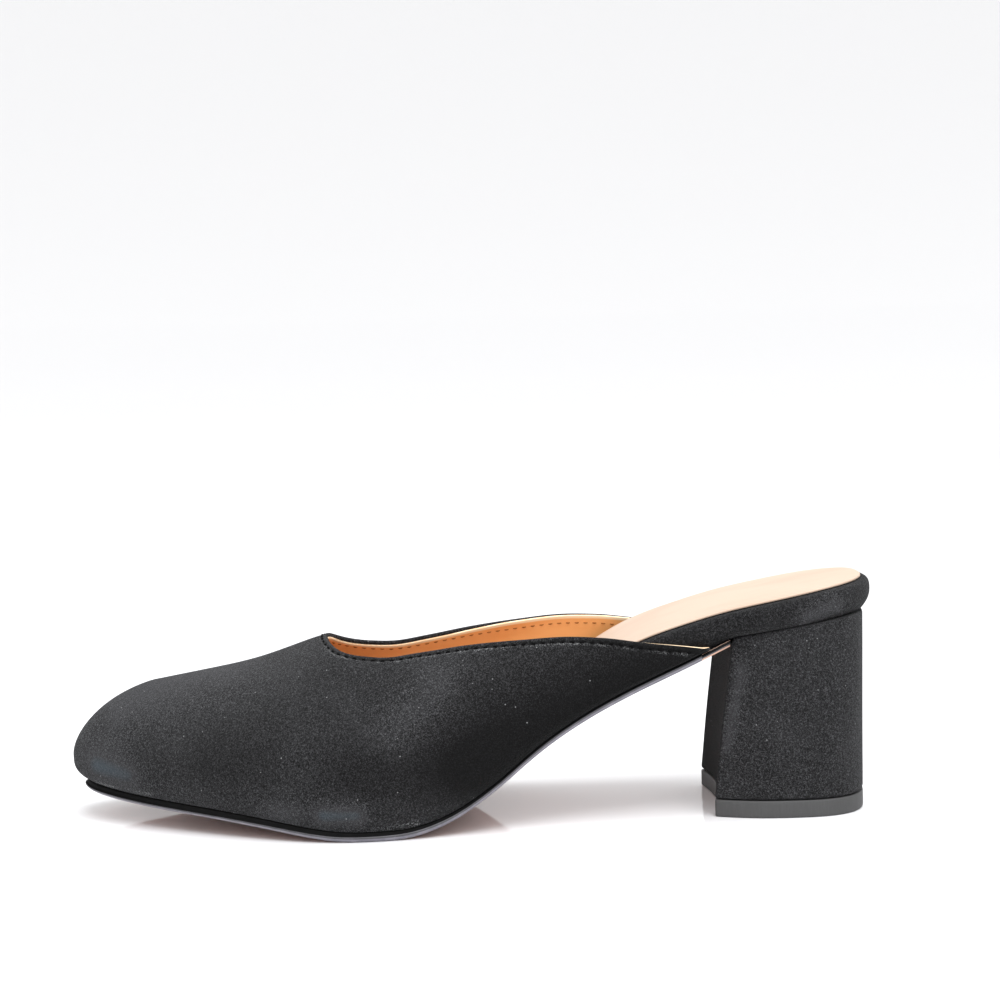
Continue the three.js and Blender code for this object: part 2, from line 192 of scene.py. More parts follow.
class Skin:
    """Collects grids of points in millimetres and turns them into one joined mesh."""

    def __init__(self) -> None:
        """Starts with no points."""
        self.points: list[Array] = []
        self.faces: list[Array] = []
        self.slots: list[Array] = []
        self.marks: list[dict[str, Array]] = []
        self.count = 0

    def add(self, grid: Array, flip: bool = False, slot: int | Array = 0,
            **marks: Array) -> None:
        """Adds a grid of quads.

        Args:
            grid: Points as (rows, columns, 3).
            flip: Turns the faces over.
            slot: The material slot, one for all faces or one for each.
            marks: Values for each point, kept as attributes of the mesh; 0 where not given.
        """
        rows, columns = grid.shape[:2]
        index = self.count + np.arange(rows * columns).reshape(rows, columns)
        corners = [index[:-1, :-1], index[:-1, 1:], index[1:, 1:], index[1:, :-1]]
        faces = np.stack(corners[::-1] if flip else corners, axis=-1).reshape(-1, 4)
        self.points.append(grid.reshape(-1, 3))
        self.faces.append(faces)
        self.slots.append(np.broadcast_to(slot, (rows - 1, columns - 1)).ravel())
        self.marks.append(marks)
        self.count += rows * columns

    def build(self, name: str, last: "Last", materials: Sequence[Material],
              join: float = 2e-7) -> Piece:
        """Makes the piece: doubles merged, smooth shaded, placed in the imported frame."""
        mesh = bpy.data.meshes.new(name)
        mesh.from_pydata(last.place(np.concatenate(self.points)), [], np.concatenate(self.faces))
        mesh.polygons.foreach_set("material_index", np.concatenate(self.slots).astype(np.int32))
        for mark in sorted(set().union(*self.marks)):
            values = [marks.get(mark, np.zeros(len(grid))).ravel()
                      for marks, grid in zip(self.marks, self.points)]
            layer = mesh.attributes.new(mark, "FLOAT", "POINT")
            layer.data.foreach_set("value", np.concatenate(values).astype(np.float32))
        work = bmesh.new()
        work.from_mesh(mesh)
        bmesh.ops.remove_doubles(work, verts=work.verts, dist=join)
        bmesh.ops.dissolve_degenerate(work, edges=work.edges, dist=join / 2)
        work.to_mesh(mesh)
        work.free()
        mesh.polygons.foreach_set("use_smooth", np.ones(len(mesh.polygons), dtype=bool))
        for material in materials:
            mesh.materials.append(material)
        piece = bpy.data.objects.new(name, mesh)
        bpy.context.scene.collection.objects.link(piece)
        return piece


class Side(Enum):
    """The two sides of the foot, as the sign of x."""

    OUTER = 1
    INNER = -1


SOLE_OUTLINE = Table(("at", "outer", "inner"), (
    (0.011, -0.06, 0.06), (0.027, 0.062, 0.164), (0.058, 0.138, 0.236), (0.133, 0.280, 0.352),
    (0.196, 0.378, 0.416), (0.258, 0.460, 0.452), (0.317, 0.518, 0.460), (0.363, 0.536, 0.448),
    (0.404, 0.527, 0.424), (0.458, 0.490, 0.388), (0.542, 0.430, 0.350), (0.625, 0.387, 0.342),
    (0.708, 0.366, 0.350), (0.771, 0.355, 0.352), (0.821, 0.330, 0.330),
))
SOLE_CURVE = Table(("at", "height"), (
    (0.011, 0.174), (0.058, 0.142), (0.133, 0.115), (0.196, 0.094), (0.258, 0.063),
    (0.317, 0.022), (0.358, 0), (0.421, 0), (0.471, 0.057), (0.529, 0.217), (0.588, 0.441),
    (0.646, 0.614), (0.704, 0.752), (0.763, 0.875), (0.821, 1),
))
SOLE_WEIGHT = Table(("at", "weight"), ((0.011, 1), (0.40, 1), (0.56, 0), (0.821, 0)))
BODY = Table(("at", "out", "rise", "ridge", "full"), (
    (0.011, 1, 0.60, 0.728, 1.62), (0.083, 0.84, 0.74, 0.740, 1.64),
    (0.125, 0.72, 0.82, 0.771, 1.68), (0.167, 0.62, 0.88, 0.804, 1.72),
    (0.229, 0.54, 0.96, 0.858, 1.76), (0.288, 0.48, 1, 0.944, 1.72), (0.325, 0.45, 1, 1, 1.68),
    (0.40, 0.42, 1, 1.04, 1.62), (0.50, 0.39, 0.78, 1.17, 1.86), (0.625, 0.34, 0.42, 1.33, 2.15),
    (0.708, 0.34, 0.25, 1.32, 2.3), (0.792, 0.34, 0.05, 1.2, 2.4),
))
TOPLINE = Table(("at", "height"), (
    (0.325, 1), (0.333, 0.969), (0.350, 0.934), (0.371, 0.917), (0.40, 0.909), (0.446, 0.936),
    (0.504, 0.977), (0.563, 1.004), (0.621, 1.020), (0.663, 1.011), (0.717, 0.978),
    (0.763, 0.952), (0.792, 0.930),
))
FOOTBED_BODY = Table(("at", "thick"), (
    (0.011, 0.32), (0.196, 0.34), (0.358, 0.38), (0.458, 0.48), (0.542, 0.60), (0.625, 0.80),
    (0.708, 0.92), (0.775, 0.78), (0.821, 0.61), (0.879, 0.67), (0.938, 0.71), (1, 0.72),
))
# The painted rib's share of the sole's thickness; the black band takes the rest
RIB = Table(("at", "tall"), (
    (0.011, 0.44), (0.15, 0.45), (0.30, 0.56), (0.42, 0.72), (0.5, 0.8), (0.58, 0.9),
    (0.821, 0.92),
))


@dataclass(frozen=True)
class Last:
    """The last that the shoe is built on: sizes in millimetres and the surfaces that follow it."""

    length: float = 240
    ball_width: float = 84
    throat_height: float = 53.7
    arch_height: float = 50.7
    seat_height: float = 52.5
    seat_slope: float = 0.15
    wall: float = 1.7
    clearance: float = 0.3
    toe_bulge: float = 3.2
    bulge_rise: float = 12
    tuck_fullness: float = 3.6
    feather_inset: float = 0.8
    toe_fan: float = 25.5
    throat_y: float = 78
    wing_end_y: float = 190
    breast_y: float = 197
    fore_sole: float = 2.5
    waist_sole: float = 1.8
    outline_step: float = 0.004
    soft: float = 4.0
    nose_soft: float = 0.02
    drop_run: float = 3
    least_share: float = 0.02

    @cached_property
    def curves(self) -> dict[str, Curve]:
        """Every curve along the shoe, by name."""
        along = self.length
        return {
            "bottom": SOLE_CURVE.curve("height", self.arch_height, along, self.soft),
            "weight": SOLE_WEIGHT.curve("weight", 1, along, self.soft),
            "out": BODY.curve("out", self.toe_bulge, along, self.soft),
            "rise": BODY.curve("rise", self.bulge_rise, along, self.soft),
            "ridge": BODY.curve("ridge", self.throat_height, along, self.soft),
            "full": BODY.curve("full", 1, along, self.soft),
            "topline": TOPLINE.curve("height", self.throat_height, along, self.soft / 4),
        }

    @cached_property
    def nose_y(self) -> float:
        """Where the sole's tip lies along the shoe."""
        return float(SOLE_OUTLINE.column("at")[0] * self.length)

    @cached_property
    def edge_x(self) -> Curve:
        """The sole's edge as x over the row parameter, below 0 on the inner side."""
        rows = self.row_of(SOLE_OUTLINE.column("at") * self.length)
        outer = SOLE_OUTLINE.column("outer") * self.ball_width
        inner = -SOLE_OUTLINE.column("inner") * self.ball_width
        round_nose = np.concatenate([-rows[:0:-1], rows])
        return smooth_curve(round_nose, np.concatenate([inner[:0:-1], outer]),
                            self.nose_soft)

    @cached_property
    def tip_x(self) -> float:
        """Where the two edges meet at the nose."""
        return float(self.edge_x(np.zeros(1))[0])

    @cached_property
    def shift(self) -> Array:
        """From the shoe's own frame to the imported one, in millimetres."""
        low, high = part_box("heel_block")
        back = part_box("footbed")[1][1]
        return np.array([(low[0] + high[0]) * 500, back * 1000 - self.length, 0.0])

    def place(self, points: Array) -> Array:
        """Millimetres in the shoe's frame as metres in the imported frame."""
        return (points + self.shift) / 1000

    def row_of(self, y: Array) -> Array:
        """The row parameter of a distance along the shoe; it grows with the square root."""
        return np.sqrt(np.maximum(np.asarray(y) - self.nose_y, 0) / (self.breast_y - self.nose_y))

    def y_of(self, q: Array) -> Array:
        """The distance along the shoe of a row parameter."""
        return self.nose_y + (self.breast_y - self.nose_y) * q * q

    def seat(self, y: Array) -> Array:
        """Height of the heel seat, a slanting plane."""
        return self.seat_height + self.seat_slope * (y - self.breast_y)

    def sole_top(self, y: Array) -> Array:
        """Height of the outsole's upper face, and of the seat behind it."""
        thick = self.waist_sole + (self.fore_sole - self.waist_sole) * self.curves["weight"](y)
        return np.where(y < self.breast_y, self.curves["bottom"](y) + thick, self.seat(y))

    def sole_bottom(self, y: Array) -> Array:
        """Height of the outsole's underside, carried on behind the breast."""
        behind = self.seat(y) - self.waist_sole
        return np.where(y < self.breast_y, self.curves["bottom"](y), behind)

    def edge(self, q: Array, side: Side) -> Array:
        """Points of the sole's edge; a negative row goes on round the nose to the other side."""
        return np.stack([self.edge_x(q * side.value), self.y_of(q)], axis=-1)

    def edge_out(self, q: Array, side: Side, distance: Array | float) -> Array:
        """The sole's edge moved outwards, square to the outline."""
        step = self.outline_step
        along = unit(self.edge(q + step, side) - self.edge(q - step, side))
        outward = np.stack([along[..., 1], -along[..., 0]], axis=-1) * side.value
        return self.edge(q, side) + outward * np.asarray(distance)[..., None]

    def lasted(self, q: Array, side: Side, lift: Array, depth: Array | float) -> Array:
        """Points of the lasted upper.

        A row's meridian is a tucked-in curve from the feather line, lift -1, to the widest line,
        lift 0, and a superellipse from there up to the ridge, lift 1. Round the toe the ridge
        ends draw together.

        Args:
            q: Row parameter.
            side: The side of the foot.
            lift: Place on the meridian, from -1 to 1.
            depth: How far the point lies inside the outer surface.

        Returns:
            Points in the shoe's frame.
        """
        q, lift, depth = np.broadcast_arrays(q, lift, depth)
        y = self.y_of(q)
        feather = self.sole_top(y) + self.clearance
        wide_height = feather + self.curves["rise"](y)
        wide = self.edge_out(q, side, self.curves["out"](y) - depth)
        foot = self.edge_out(q, side, -self.feather_inset - depth)
        tuck = np.clip(-lift, 0, 1)[..., None]
        low = wide + (foot - wide) * tuck ** self.tuck_fullness
        low_height = wide_height - tuck[..., 0] * (wide_height - feather)
        front = np.maximum(0, 1 - y / self.throat_y)
        end_y = y + self.toe_fan * front ** 3
        end_x = self.tip_x * np.maximum(0, 1 - end_y / self.throat_y)
        power = 2 / self.curves["full"](end_y)
        turn = np.clip(lift, 0, 1) * math.pi / 2
        reach = np.maximum(np.cos(turn), 0) ** power
        spine = np.stack([end_x, end_y], axis=-1)
        high = spine + (wide - spine) * reach[..., None]
        roof = self.curves["ridge"](high[..., 1]) - depth
        high_height = wide_height + (roof - wide_height) * np.sin(turn) ** power
        flat = np.where(lift[..., None] > 0, high, low)
        return raised(flat, np.where(lift > 0, high_height, low_height))

    def topline_lift(self, q: Array, drop: Array | float) -> Array:
        """Where the topline, lowered by a drop, cuts each row's meridian."""
        y = self.y_of(q)
        wide_height = self.sole_top(y) + self.clearance + self.curves["rise"](y)
        begun = smoothstep(y, self.throat_y, self.throat_y + self.drop_run)
        lowered = self.curves["topline"](y) - drop * begun
        share = (lowered - wide_height) / (self.curves["ridge"](y) - wide_height)
        lift = np.arcsin(np.clip(share, self.least_share, 1) ** (self.curves["full"](y) / 2))
        return np.where(y <= self.throat_y, 1, lift * 2 / math.pi)


# Finishes


class Nodes:
    """The node tree of one material."""

    def __init__(self, material: Material) -> None:
        """Starts from an empty tree."""
        material.use_nodes = True
        self.tree = material.node_tree
        self.tree.nodes.clear()

    def add(self, kind: str, settings: dict | None = None,
            links: dict | None = None) -> bpy.types.Node:
        """Adds a node with its settings and links.

        Args:
            kind: The shader node's type, without its prefix.
            settings: Properties by name, and constant inputs by socket name or number.
            links: Output sockets by the input that each one feeds.

        Returns:
            The new node.
        """
        node = self.tree.nodes.new("ShaderNode" + kind)
        for key, value in (settings or {}).items():
            if isinstance(key, str) and hasattr(node, key):
                setattr(node, key, value)
            else:
                node.inputs[key].default_value = value
        for key, source in (links or {}).items():
            self.tree.links.new(source, node.inputs[key])
        return node

    def overlay(self, below: str | Socket, above: str | Socket, value: Socket, low: float = 0,
                high: float = 1, share: float = 1) -> Socket:
        """Lays a colour over another, by a share that grows as the value runs from low to high."""
        factor = self.add("MapRange", {"From Min": low, "From Max": high, "To Max": share},
                          {"Value": value})
        settings, links = {"data_type": "RGBA"}, {0: factor.outputs[0]}
        for key, colour in ((6, below), (7, above)):
            if isinstance(colour, str):
                settings[key] = linear_colour(colour)
            else:
                links[key] = colour
        return self.add("Mix", settings, links).outputs[2]


@dataclass(frozen=True)
class Finish:
    """A finish: the surface as made, its colour, and the shader's typical values."""

    name: str
    colour: str
    roughness: float
    specular: float = 0.5
    relief_mm: float = 0.06
    relief_strength: float = 0.5
    extra: ClassVar[dict[str, float | tuple[float, ...]]] = {}

    def material(self) -> Material:
        """Makes the material, with its pattern from the finish's own method."""
        material = bpy.data.materials.new(self.name)
        nodes = Nodes(material)
        shader = nodes.add("BsdfPrincipled", {
            "Base Color": linear_colour(self.colour), "Roughness": self.roughness,
            "Specular IOR Level": self.specular, **self.extra,
        })
        nodes.add("OutputMaterial", links={"Surface": shader.outputs[0]})
        made = self.pattern(nodes, nodes.add("TexCoord").outputs["Object"])
        if "Height" in made:
            bump = nodes.add("Bump", {
                "Strength": self.relief_strength, "Distance": self.relief_mm / 1000,
            }, {"Height": made.pop("Height")})
            made["Normal"] = bump.outputs[0]
        for name, source in made.items():
            nodes.tree.links.new(source, shader.inputs[name])
        return material

    def pattern(self, nodes: Nodes, place: Socket) -> dict[str, Socket]:
        """Adds colour variation and relief: what feeds each input, and the bump's Height."""
        raise NotImplementedError


@dataclass(frozen=True)
class Suede(Finish):
    """Split leather with a buffed nap: no gloss, a fine grain, soft patches where the nap lies
    another way and catches cold light, and a few specks of dust. The same marks also lay painted
    highlights and painted shade on the upper, the footbed and the heel, painted shade in the
    stitch groove, and pale specks beside the stitch row as painted highlights.

    The finest fibres are too thin to show, so they are drawn 0.4 mm wide.
    """

    relief_mm: float = 0.45
    relief_strength: float = 1.0
    nap_colour: str = "#565658"
    lit_colour: str = "#464648"
    cool_colour: str = "#454F56"
    dark_grain_and_shade_colour: str = "#060606"
    dust_colour: str = "#8E8F90"
    grain_mm: float = 0.68
    fibre_mm: float = 0.4
    patch_mm: float = 22
    clump_mm: float = 5.5
    dust_mm: float = 3.0
    extra = {"Sheen Weight": 0.06, "Sheen Roughness": 0.4, "Sheen Tint": linear_colour("#F2F3F5")}

    def pattern(self, nodes: Nodes, place: Socket) -> dict[str, Socket]:
        """Grain and fibre, broad nap patches, listed patches, painted highlights and painted
        shade, loose fibres and dust.
        """
        grain, fibre, patches, clumps = (
            nodes.add("TexNoise", {"Scale": 1000 / size, "Detail": detail, "Roughness": rough,
                                   "Distortion": bend}, {"Vector": place}).outputs[0]
            for size, detail, rough, bend in (
                (self.grain_mm, 3, 0.8, 0.9), (self.fibre_mm, 2, 0.8, 1.2),
                (self.patch_mm, 2.5, 0.5, 0.6), (self.clump_mm, 1, 0.5, 0),
            )
        )
        nap, painted_groove_shade, fray_and_lit_specks = (nodes.add("Attribute", {"attribute_name": name}).outputs["Fac"]
                           for name in ("nap", "painted_groove_shade", "fray_and_lit_specks"))
        cells = nodes.add("TexVoronoi", {"Scale": 1000 / self.dust_mm}, {"Vector": place})
        loose, clumped, near, chosen = (
            nodes.add("MapRange", {"From Min": low, "From Max": high, "To Min": start,
                                   "To Max": end}, {"Value": value}).outputs[0]
            for value, low, high, start, end in (
                (fibre, 0.52, 0.62, 0, 0.8), (clumps, 0.42, 0.58, 0.15, 1),
                (cells.outputs["Distance"], 0.03, 0.075, 1, 0),
                (cells.outputs["Color"], 0.55, 0.62, 0, 1),
            )
        )
        tufts, dust = (
            nodes.add("Math", {"operation": "MULTIPLY"}, {0: first, 1: second}).outputs[0]
            for first, second in ((loose, clumped), (near, chosen))
        )
        fray_and_lit_speck_amount = nodes.add("Math", {"operation": "MULTIPLY"}, {0: tufts, 1: fray_and_lit_specks}).outputs[0]
        lit = nodes.overlay(self.lit_colour, self.cool_colour, nap, 0.6, 0.9)
        colour = self.dark_grain_and_shade_colour
        for above, *span in (
            (self.colour, grain, 0.42, 0.60),
            (self.nap_colour, fibre, 0.505, 0.61, 0.85),
            (self.nap_colour, patches, 0.45, 0.75, 0.10),
            # The nap mark lays the lit colour above 0, for nap patches and for painted highlights,
            # and the dark colour below 0 as painted shade
            (lit, nap, 0, 1, 0.65),
            (self.dark_grain_and_shade_colour, nap, 0, -1, 0.9),
            # Painted shade in the stitch groove
            (self.dark_grain_and_shade_colour, painted_groove_shade, 0, 1, 0.55),
            # Pale fibres at the suede's lower edge, and pale specks beside the stitch row as
            # painted highlights
            (self.dust_colour, fray_and_lit_speck_amount),
            (self.dust_colour, dust),
        ):
            colour = nodes.overlay(colour, above, *span)
        return {"Base Color": colour, "Height": grain}


@dataclass(frozen=True)
class Mottled(Finish):
    """A colour with spots or streaks of a second one, which also raise the surface a little."""

    second_colour: str = "#FFFFFF"
    spot_mm: float = 3.0
    squeeze: tuple[float, float, float] = (1, 1, 1)
    spot_roughness: float = 0.6
    spot_from: float = 0.4
    spot_to: float = 0.7
    spot_share: float = 0.7

    def pattern(self, nodes: Nodes, place: Socket) -> dict[str, Socket]:
        """Noise, denser along an axis where the squeeze is over 1 and drawn out where under 1."""
        squeezed = nodes.add("Mapping", {"Scale": self.squeeze}, {"Vector": place}).outputs[0]
        spots = nodes.add("TexNoise", {
            "Scale": 1000 / self.spot_mm, "Detail": 3, "Roughness": self.spot_roughness,
        }, {"Vector": squeezed}).outputs[0]
        colour = nodes.overlay(self.colour, self.second_colour, spots, self.spot_from,
                               self.spot_to, self.spot_share)
        return {"Base Color": colour, "Height": spots}


@dataclass(frozen=True)
class SmoothLeather(Mottled):
    """Finished leather: even colour with faint long streaks and small pores, and a soft low
    gloss. A band marked as the cut edge is paler."""

    relief_mm: float = 0.05
    relief_strength: float = 0.6
    second_colour: str = "#EB9448"
    spot_mm: float = 9
    squeeze: tuple[float, float, float] = (1.0, 0.35, 1.6)
    spot_roughness: float = 0.55
    spot_from: float = 0.42
    spot_to: float = 0.72
    spot_share: float = 0.6
    edge_colour: str = "#FFE3BC"
    pore_mm: float = 0.9
    extra = {"Coat Weight": 0.12, "Coat Roughness": 0.4}

    def pattern(self, nodes: Nodes, place: Socket) -> dict[str, Socket]:
        """The streaks, the pale cut edge over them, and pores as relief."""
        streaked = super().pattern(nodes, place)["Base Color"]
        edge = nodes.add("Attribute", {"attribute_name": "edge"}).outputs["Fac"]
        pores = nodes.add("TexNoise", {
            "Scale": 1000 / self.pore_mm, "Detail": 2, "Roughness": 0.6,
        }, {"Vector": place}).outputs[0]
        return {"Base Color": nodes.overlay(streaked, self.edge_colour, edge), "Height": pores}


@dataclass(frozen=True)
class PaintedEdge(Mottled):
    """Dyed and burnished sole edge: faint unevenness of the brush, and a soft gloss."""


@dataclass(frozen=True)
class Rubber(Mottled):
    """Pressed heel rubber: dark grey, matt, with the fine upright marks of the trimming wheel."""

    relief_strength: float = 0.6
    second_colour: str = "#4C4C4C"
    spot_mm: float = 0.6
    squeeze: tuple[float, float, float] = (1, 1, 0.12)
    spot_roughness: float = 0.7
    spot_share: float = 0.6


@dataclass(frozen=True)
class TwistedThread(Finish):
    """Bonded nylon sewing thread, with a low sheen on each twist."""

    relief_mm: float = 0.05
    second_colour: str = "#0E0E0F"
    twist_mm: float = 0.35

    def pattern(self, nodes: Nodes, place: Socket) -> dict[str, Socket]:
        """Slanting twist by a wave along the thread."""
        twist = nodes.add("TexWave", {
            "Scale": 1000 / self.twist_mm / 6.28, "Distortion": 1.0,
        }, {"Vector": place}).outputs["Fac"]
        colour = nodes.overlay(self.colour, self.second_colour, twist, share=0.5)
        return {"Base Color": colour, "Height": twist}


@dataclass(frozen=True)
class GlossBoard(Finish):
    """White glossy table board: mirrors softly at a low angle."""

    cloud_mm: float = 90

    def pattern(self, nodes: Nodes, place: Socket) -> dict[str, Socket]:
        """A very slight cloudiness of the gloss."""
        cloud = nodes.add("TexNoise", {"Scale": 1000 / self.cloud_mm, "Detail": 2},
                          {"Vector": place})
        gloss = nodes.add("MapRange", {
            "From Min": 0.3, "From Max": 0.7,
            "To Min": self.roughness * 0.85, "To Max": self.roughness * 1.15,
        }, {"Value": cloud.outputs[0]})
        return {"Roughness": gloss.outputs[0]}


# Sub-assemblies


def hand_over(pieces: Sequence[tuple[Piece, str, str]]) -> list[Piece]:
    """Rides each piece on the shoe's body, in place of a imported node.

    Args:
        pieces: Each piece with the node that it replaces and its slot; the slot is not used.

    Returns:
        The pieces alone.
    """
    for piece, node, slot in pieces:
        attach(piece, "root")
        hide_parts(node)
    return [piece for piece, _, _ in pieces]


@dataclass(frozen=True)
class Stroke:
    """A soft trough or ridge on one side of the upper, along a line in y and z."""

    side: Side
    start: tuple[float, float]
    end: tuple[float, float]
    width: float
    depth: float
    crossing: ClassVar[float] = 10

    def reach(self, points: Array) -> Array:
        """The depth that each point takes: a Gaussian of its distance to the line.

        A stroke that runs over the ridge dies away within the crossing on the other side.
        """
        start, end = np.array(self.start), np.array(self.end)
        along = end - start
        t = np.clip(((points[..., 1:] - start) @ along) / (along @ along), 0, 1)
        gap = np.linalg.norm(points[..., 1:] - start - t[..., None] * along, axis=-1)
        across = smoothstep(points[..., 0] * self.side.value, -self.crossing, 0)
        return self.depth * across * bell(gap, self.width)


# Creases and hollows of the worn-in suede; a depth below 0 is a ridge
CREASES = (
    Stroke(Side.OUTER, (104, 40), (116, 18), 5.0, 0.35),
    Stroke(Side.OUTER, (112, 42), (126, 24), 4.0, -0.25),
    Stroke(Side.OUTER, (140, 40), (178, 47), 3.0, 0.25),
    Stroke(Side.OUTER, (60, 20), (88, 14), 4.0, 0.20),
    Stroke(Side.INNER, (100, 40), (112, 20), 5.0, 0.30),
    Stroke(Side.INNER, (140, 40), (176, 47), 3.0, 0.20),
)
# Patches of nap that catch the light; the depth is how strongly they show. The stroke on the toe's
# top is a painted highlight, and each stroke with a depth below 0 is painted shade
NAP_PATCHES_AND_PAINTED_LIGHT = (
    Stroke(Side.OUTER, (10, 17.5), (20, 16), 3.4, 0.9),
    Stroke(Side.OUTER, (66, 8.6), (71, 8.4), 2.4, 0.6),
    Stroke(Side.OUTER, (80, 8.2), (89, 8.2), 2.5, 1.0),
    Stroke(Side.OUTER, (100, 30), (113, 42), 3.6, 0.5),
    # A painted highlight on the toe's top
    Stroke(Side.OUTER, (16, 36), (52, 49), 5.0, 0.62),
    # Painted shade on the lower vamp, the wing, the lower side behind the ball and the vamp's side
    Stroke(Side.OUTER, (26, 22), (62, 20), 6.5, -0.28),
    Stroke(Side.OUTER, (134, 26), (186, 48), 15.0, -1.0),
    Stroke(Side.OUTER, (88, 20), (118, 18), 8.0, -0.65),
    Stroke(Side.OUTER, (50, 26), (92, 46), 9.0, -0.35),
    Stroke(Side.INNER, (64, 12), (80, 12), 4.0, 0.6),
    Stroke(Side.INNER, (96, 26), (116, 42), 6.0, 0.4),
)
# Pale fibres that stand out where the suede meets the sole
FRAYED = (
    Stroke(Side.OUTER, (8, 11.6), (27, 10.3), 0.45, 1.6),
    Stroke(Side.OUTER, (95, 3.7), (106, 4.5), 0.45, 2.0),
)


@dataclass
class Upper:
    """The upper: suede outside, folded over at the topline and stitched, and a leather lining."""

    last: Last
    suede_thick: float = 1.1
    lining_drop: float = 0.45
    lining_rise: float = 0.65
    stitch_in: float = 1.7
    stitch_pitch: float = 2.8
    stitch_length: float = 1.6
    thread_radius: float = 0.35
    thread_sunk: float = 0.5
    lining_thread_radius: float = 0.21
    lining_stitch_in: float = 2.5
    stitch_end_y: float = 186
    groove_depth: float = 0.25
    groove_width: float = 0.34
    fold_puff: float = 0.14
    puff_width: float = 0.45
    # Where the pale specks beside the stitch row lie: painted highlights on the suede between the
    # holes
    lit_specks_beyond: float = 0.65
    lit_specks_width: float = 0.25
    layer_gap: float = 0.04
    rise_from_to: tuple[float, float] = (112, 135)
    seam_ends: tuple[float, float] = (182, 188)
    creases_from_to: tuple[float, float] = (2, 8)
    cut_edge: tuple[float, float] = (0.7, 1.3)
    suede_grid: tuple[int, int, int] = (90, 150, 52)
    lining_grid: tuple[int, int, int] = (60, 110, 30)
    stitch_grid: tuple[int, int, int] = (60, 320, 60)
    row_crowding: float = 1.8
    column_crowding: float = 1.5
    meridian_steps: int = 220
    thread_steps: int = 9

    # Distances from the topline at which columns lie, to draw the fold and the stitch groove
    near_columns: ClassVar[Array] = np.array([
        0, 0.05, 0.12, 0.22, 0.35, 0.55, 0.8, 1.05, 1.25, 1.4, 1.55, 1.7, 1.85, 2.0, 2.15, 2.3,
        2.5, 2.8, 3.2, 4.0, 5.0,
    ])

    def rows(self, fore: int, wing: int) -> tuple[Array, int]:
        """Row parameters from the nose to the wing's end, close together at the throat.

        Args:
            fore: Rows on the vamp, but for those near the throat.
            wing: Rows on the wing.

        Returns:
            The rows, and the number of the throat's row.
        """
        last = self.last
        close = last.row_of(last.throat_y - self.near_columns[:0:-1])
        throat = float(last.row_of(last.throat_y))
        end = float(last.row_of(last.wing_end_y))
        vamp = np.linspace(0, close[0], fore, endpoint=False)
        behind = throat + (end - throat) * np.linspace(0, 1, wing) ** self.row_crowding
        return np.concatenate([vamp, close, behind]), len(vamp) + len(close)

    def lifts(self, q: Array, side: Side, drop: Array | float, body_columns: int) -> Array:
        """Lifts of each row's points: set distances below its top, then closer to the feather."""
        top = self.last.topline_lift(q, drop)[:, None]
        fine = top + (-1 - top) * np.linspace(0, 1, self.meridian_steps)
        line = self.last.lasted(q[:, None], side, fine, 0)
        run = np.cumsum(np.linalg.norm(np.diff(line, axis=1), axis=-1), axis=1)
        run = np.concatenate([np.zeros((len(q), 1)), run], axis=1)
        whole = run[:, -1:]
        near = self.near_columns * np.minimum(1, whole / (3 * self.near_columns[-1]))
        share = 1 - (1 - np.linspace(0, 1, body_columns + 1)[1:]) ** self.column_crowding
        rest = near[:, -1:] + (whole - near[:, -1:]) * share
        wanted = np.concatenate([near, rest], axis=1)
        return np.stack([np.interp(w, s, f) for w, s, f in zip(wanted, run, fine)])

    def grid(self, counts: tuple[int, int, int], depth: float,
             drop: Curve) -> tuple[Array, int, dict[Side, Array], dict[Side, Array], Array]:
        """A grid on both halves of the upper, whose first column is the topline.

        Args:
            counts: Rows on the vamp and the wing, and columns below the fold.
            depth: How far the grid lies inside the outer surface.
            drop: How far its first column lies below the topline, along the shoe.

        Returns:
            The rows, the throat's row, the lifts and points of each side, and the topline.
        """
        fore, wing, columns = counts
        q, throat = self.rows(fore, wing)
        lifts = {side: self.lifts(q, side, drop(self.last.y_of(q)), columns) for side in Side}
        base = {side: self.last.lasted(q[:, None], side, lifts[side], depth) for side in Side}
        return q, throat, lifts, base, np.concatenate([base[side][throat:, 0] for side in Side])

    def shell(self, outside: float, inside: float, drop: float, rise: float,
              counts: tuple[int, int, int], relief: bool) -> Skin:
        """Both halves of one layer as a closed shell that rounds over at the topline.

        At a distance d below the topline each face turns inwards by r - sqrt(r^2 - (r - d)^2),
        where r is half the layer's thickness, so the faces meet on the rounded edge.

        Args:
            outside: Depth of the outer face.
            inside: Depth of the inner face.
            drop: How far the layer stops below the topline.
            rise: How much less it drops along the wing.
            counts: Rows on the vamp and the wing, and columns below the fold.
            relief: Whether the outer face has the stitch groove and the creases.
        """
        skin = Skin()
        q, throat, lifts, base, line = self.grid(counts, outside, lambda y: (
            drop - rise * smoothstep(y, *self.rise_from_to)))
        radius = (inside - outside) / 2
        parted = max(throat, int(np.argmax(lifts[Side.OUTER][:, 0] < 1)) - 1)
        for side in Side:
            away = distance_to_line(base[side], line)
            turned = np.maximum(radius - away, 0)
            turn = radius - np.sqrt(np.maximum(radius ** 2 - turned ** 2, 0))
            front, marks = outside + turn, {"edge": 1 - smoothstep(away, *self.cut_edge)}
            if relief:
                fade = 1 - smoothstep(self.last.y_of(q), *self.seam_ends)[:, None]
                # The groove band carries painted shade in the stitch groove; the band beyond it
                # places pale specks as painted highlights
                groove, puff, fibres = (fade * bell(away - at, width) for at, width in (
                    (self.stitch_in, self.groove_width), (self.stitch_in / 2, self.puff_width),
                    (self.stitch_in + self.lit_specks_beyond, self.lit_specks_width),
                ))
                ease = smoothstep(away, *self.creases_from_to)
                creases = sum(stroke.reach(base[side]) for stroke in CREASES)
                front = front + self.groove_depth * groove - self.fold_puff * puff + ease * creases
